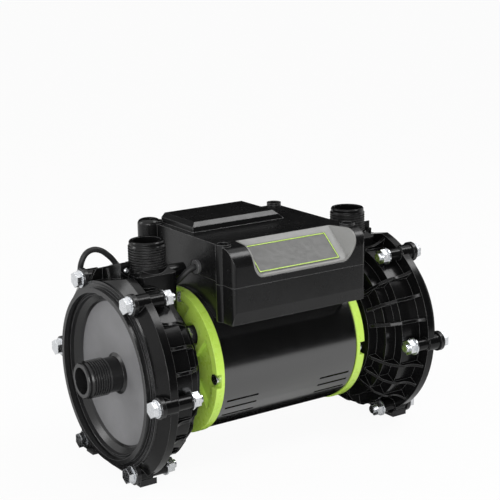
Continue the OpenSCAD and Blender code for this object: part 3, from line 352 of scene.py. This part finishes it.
LEAD_R = 2.1 * MM
LEAD_STEPS, LEAD_SIDES = 6, 20
LEAD_ROUTE = [
    (-86, 21.8, 65), (-86, 26, 65), (-85, 30, 62.5), (-84.3, 34.5, 61), (-84.3, 39.5, 61),
    (-85, 43.5, 62.5), (-86.8, 46, 65.5), (-89.7, 46.9, 69.7), (-94.3, 47, 74), (-97, 47, 75.9),
    (-100, 47, 77.2), (-103, 47, 77.8), (-106, 47, 77.5), (-108.7, 47, 76.4), (-111, 47, 74.3),
    (-112.7, 47.3, 71.2), (-113.6, 48, 67.5), (-113.5, 49.2, 63.5), (-112, 51.2, 59.5),
    (-109, 53.5, 56), (-104.5, 55.5, 53.2), (-99, 56, 51.8), (-93, 53.5, 51.3), (-87, 48, 52.3),
    (-81.5, 40.5, 54.8), (-76.5, 31, 57.5), (-72.5, 21.5, 59.3), (-69.6, 12, 59.3), (-68.5, 3.5, 58),
    (-68.2, -3.5, 58), (-67.3, -8.7, 60.8), (-65, -11.8, 64.6), (-62.2, -13.6, 67.8),
    (-59, -14.7, 69.9), (-56.5, -15, 70.5), (-48, -15, 70.5),
]


def spline_point(points, i, u):
    """A point on the smooth curve through the route, between its points i and i + 1."""
    last = len(points) - 1
    a, b, c, d = (points[min(max(k, 0), last)] for k in (i - 1, i, i + 1, i + 2))
    square = 2 * a - 5 * b + 4 * c - d
    cube = 3 * b - a - 3 * c + d
    return ((2 * b) + (c - a) * u + square * u ** 2 + cube * u ** 3) / 2


def make_lead(material):
    """A smooth round tube along the lead's route, in place of its many-sided solid."""
    points = [Vector((x, y, z + SHAFT_H / MM)) * MM for x, y, z in LEAD_ROUTE]
    path = [spline_point(points, i, k / LEAD_STEPS)
            for i in range(len(points) - 1) for k in range(LEAD_STEPS)]
    path.append(points[-1])
    work = bmesh.new()
    rings = []
    side = Vector((0, 0, 1)).cross(path[1] - path[0]).normalized()
    for i, at in enumerate(path):
        along = (path[min(i + 1, len(path) - 1)] - path[max(i - 1, 0)]).normalized()
        side = (side - along * side.dot(along)).normalized()
        upright = along.cross(side)
        turns = [2 * math.pi * k / LEAD_SIDES for k in range(LEAD_SIDES)]
        rings.append([work.verts.new(at + (side * math.cos(a) + upright * math.sin(a)) * LEAD_R)
                      for a in turns])
    for near, far in zip(rings, rings[1:]):
        for k in range(LEAD_SIDES):
            n = (k + 1) % LEAD_SIDES
            work.faces.new((near[k], near[n], far[n], far[k])).smooth = True
    work.faces.new(reversed(rings[0]))
    work.faces.new(rings[-1])
    mesh = bpy.data.meshes.new("lead_tube")
    work.to_mesh(mesh)
    work.free()
    mesh.materials.append(material)
    tube = bpy.data.objects.new("lead_tube", mesh)
    bpy.context.scene.collection.objects.link(tube)
    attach(tube, "base")
    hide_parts("sensor_lead")


# Small screws

ROOF_SCREW_AT = (-104.5 * MM, -3 * MM, SHAFT_H + 73 * MM)
ROOF_SCREW_R = 2.1 * MM

# Sides of a screw's head, its rise over its radius, and its outline as shares of radius and rise
SCREW_SIDES = 28
RISE_SHARE = 0.75
HEAD_SHARES = [(1.0, -0.5), (1.0, 0.35), (0.93, 0.62), (0.75, 0.85), (0.45, 0.97)]

# The cross: its length and width over the radius, how high it opens, how far it narrows and sinks
CROSS_LEN_SHARE, CROSS_W_SHARE = 0.5, 0.14
CROSS_TOP_SHARE = 0.97
CROSS_NARROW_SHARE, CROSS_SINK_SHARE = 0.7, 0.2


def make_screw(name, place, axis, radius, material):
    """A small pan-head screw with a cross recess, its head standing along axis from place."""
    sides, rise = SCREW_SIDES, radius * RISE_SHARE
    turn = Vector((0, 0, 1)).rotation_difference(Vector(axis)).to_matrix().to_4x4()
    work = bmesh.new()
    rings = []
    turns = [2 * math.pi * k / sides for k in range(sides)]
    for share, lift in HEAD_SHARES:
        out = radius * share
        rings.append([work.verts.new((out * math.cos(a), out * math.sin(a), rise * lift)) for a in turns])
    for low, high in zip(rings, rings[1:]):
        for k in range(sides):
            n = (k + 1) % sides
            work.faces.new((low[k], low[n], high[n], high[k])).smooth = True
    reach, half = radius * CROSS_LEN_SHARE, radius * CROSS_W_SHARE
    cross = []
    for quarter in range(4):
        spin = Matrix.Rotation(quarter * math.pi / 2, 3, "Z")
        for x, y in ((half, -half), (reach, -half), (reach, half)):
            cross.append(work.verts.new(spin @ Vector((x, y, rise * CROSS_TOP_SHARE))))
    work.faces.new(reversed(rings[0]))
    top_edges = [work.edges.get((rings[-1][k], rings[-1][(k + 1) % sides])) for k in range(sides)]
    cross_edges = [work.edges.new((cross[k], cross[(k + 1) % len(cross)])) for k in range(len(cross))]
    bmesh.ops.triangle_fill(work, edges=top_edges + cross_edges, use_beauty=True)
    drop = Vector((0, 0, rise * CROSS_SINK_SHARE))
    sunk = [work.verts.new(v.co * CROSS_NARROW_SHARE - drop) for v in cross]
    for k in range(len(cross)):
        n = (k + 1) % len(cross)
        work.faces.new((cross[k], cross[n], sunk[n], sunk[k]))
    work.faces.new(sunk)
    bmesh.ops.recalc_face_normals(work, faces=work.faces)
    bmesh.ops.transform(work, matrix=Matrix.Translation(Vector(place)) @ turn, verts=work.verts)
    mesh = bpy.data.meshes.new(name)
    work.to_mesh(mesh)
    work.free()
    mesh.materials.append(material)
    screw = bpy.data.objects.new(name, mesh)
    bpy.context.scene.collection.objects.link(screw)
    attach(screw, "base")


# The studio

FLOOR_HALF = 6.0
FLOOR_CAMERA_GLOW, FLOOR_GLOSS_GLOW = 0.94, 0.25
FILL = 0.5

# Lamps: name, place, aim, width, height, brightness; boards: name, place, aim, width, height
LAMPS = [
    ("key", (0.62, -0.35, 1.05), (0, 0, 0.1), 0.46, 0.46, 8.2),
    ("left", (-1.0, -0.95, 0.42), (-0.08, 0, 0.08), 0.6, 0.6, 6.8),
    ("front", (-0.68, -1.3, 0.3), (-0.06, 0, 0.07), 0.4, 0.4, 8.6),
    ("rim", (-0.95, 0.6, 0.6), (-0.1, 0, 0.08), 0.3, 0.6, 6.0),
]
BOARDS = [
    ("flag_back", (0.7, 1.5, 0.85), (0, 0, 0.15), 3.4, 1.6),
    ("flag_front", (0.9, -1.7, 0.95), (0, 0, 0.1), 3.6, 2.2),
    # A dark board on the floor under the pump, seen only in reflections: painted shadow of the pump on the
    # floor.
    ("painted_shadow_board", (0.08, 0.03, 0.002), (0.08, 0.03, 1), 0.46, 0.12),
    ("flag_far", (0.5, -1.18, 0.002), (0.5, -1.18, 1), 3.2, 1.36),
]


def rectangle(half_w, half_h):
    """Corners of a flat rectangle round the origin."""
    return [(-half_w, -half_h, 0), (half_w, -half_h, 0), (half_w, half_h, 0), (-half_w, half_h, 0)]


def area_lamp(name, place, aim, width, height, radiance):
    """A soft box; radiance is how bright its face looks, so its power follows its size."""
    data = bpy.data.lights.new(name, "AREA")
    data.shape = "RECTANGLE"
    data.size = width
    data.size_y = height
    data.energy = radiance * math.pi * data.size * data.size_y
    lamp = bpy.data.objects.new(name, data)
    lamp.location = place
    lamp.rotation_euler = (Vector(aim) - Vector(place)).to_track_quat("-Z", "Y").to_euler()
    bpy.context.scene.collection.objects.link(lamp)


def seen_rays(nodes, links, camera_share=1.0, gloss_share=1.0):
    """camera_share for camera rays, gloss_share for glossy and transmission rays, otherwise 0."""
    path = nodes.new("ShaderNodeLightPath")

    def joined(operation, first, second):
        node = nodes.new("ShaderNodeMath")
        node.operation = operation
        for socket, value in zip(node.inputs, (first, second)):
            if isinstance(value, bpy.types.NodeSocket):
                links.new(value, socket)
            else:
                socket.default_value = value
        return node.outputs["Value"]

    gloss = joined("MAXIMUM", path.outputs["Is Glossy Ray"], path.outputs["Is Transmission Ray"])
    return joined("MAXIMUM", joined("MULTIPLY", path.outputs["Is Camera Ray"], camera_share),
                  joined("MULTIPLY", gloss, gloss_share))


def make_floor():
    """A pale floor that shows white and keeps the pump's shadow."""
    mesh = bpy.data.meshes.new("floor")
    mesh.from_pydata(rectangle(FLOOR_HALF, FLOOR_HALF), [], [(0, 1, 2, 3)])
    floor = bpy.data.objects.new("floor", mesh)
    bpy.context.scene.collection.objects.link(floor)
    g = Graph("floor")
    g.put(g.shader, "Base Color", (0.85, 0.85, 0.85, 1))
    g.put(g.shader, "Roughness", 0.9)
    g.put(g.shader, "Specular IOR Level", 0.1)
    glow = g.add("ShaderNodeEmission", {"Color": (1, 1, 1, 1), "Strength": 1.0})
    share = seen_rays(g.tree.nodes, g.tree.links, FLOOR_CAMERA_GLOW, FLOOR_GLOSS_GLOW)
    mixed = g.add("ShaderNodeMixShader", {0: share, 1: g.shader.outputs["BSDF"], 2: glow.outputs["Emission"]})
    g.tree.links.new(mixed.outputs["Shader"], g.tree.nodes["Material Output"].inputs["Surface"])
    mesh.materials.append(g.material)


def make_flag(name, place, aim, width, height):
    """A dark studio board outside the picture, which only the glossy surfaces see; the one laid on the floor
    under the pump is painted shadow, darkening the floor's reflection where the pump shades it.
    """
    mesh = bpy.data.meshes.new(name)
    mesh.from_pydata(rectangle(width / 2, height / 2), [], [(0, 1, 2, 3)])
    flag = bpy.data.objects.new(name, mesh)
    flag.location = place
    flag.rotation_euler = (Vector(aim) - Vector(place)).to_track_quat("Z", "Y").to_euler()
    bpy.context.scene.collection.objects.link(flag)
    g = Graph(name)
    g.put(g.shader, "Base Color", (0.01, 0.01, 0.01, 1))
    g.put(g.shader, "Roughness", 1.0)
    g.put(g.shader, "Specular IOR Level", 0.0)
    mesh.materials.append(g.material)
    for kind in ("camera", "diffuse", "transmission", "shadow", "volume_scatter"):
        setattr(flag, f"visible_{kind}", False)


def make_world():
    """Even grey fill light; the camera, gloss and glass see white."""
    world = bpy.data.worlds.new("studio")
    bpy.context.scene.world = world
    world.use_nodes = True
    nodes, links = world.node_tree.nodes, world.node_tree.links
    fill = nodes["Background"]
    fill.inputs["Color"].default_value = (1, 1, 1, 1)
    fill.inputs["Strength"].default_value = FILL
    seen = nodes.new("ShaderNodeBackground")
    seen.inputs["Color"].default_value = (1, 1, 1, 1)
    seen.inputs["Strength"].default_value = 1.0
    mix = nodes.new("ShaderNodeMixShader")
    links.new(seen_rays(nodes, links), mix.inputs["Fac"])
    links.new(fill.outputs["Background"], mix.inputs[1])
    links.new(seen.outputs["Background"], mix.inputs[2])
    links.new(mix.outputs["Shader"], nodes["World Output"].inputs["Surface"])


make_camera()
make_materials()
make_floor()
make_world()
for lamp in LAMPS:
    area_lamp(*lamp)
for board in BOARDS:
    make_flag(*board)
bpy.context.scene.view_settings.view_transform = "Standard"
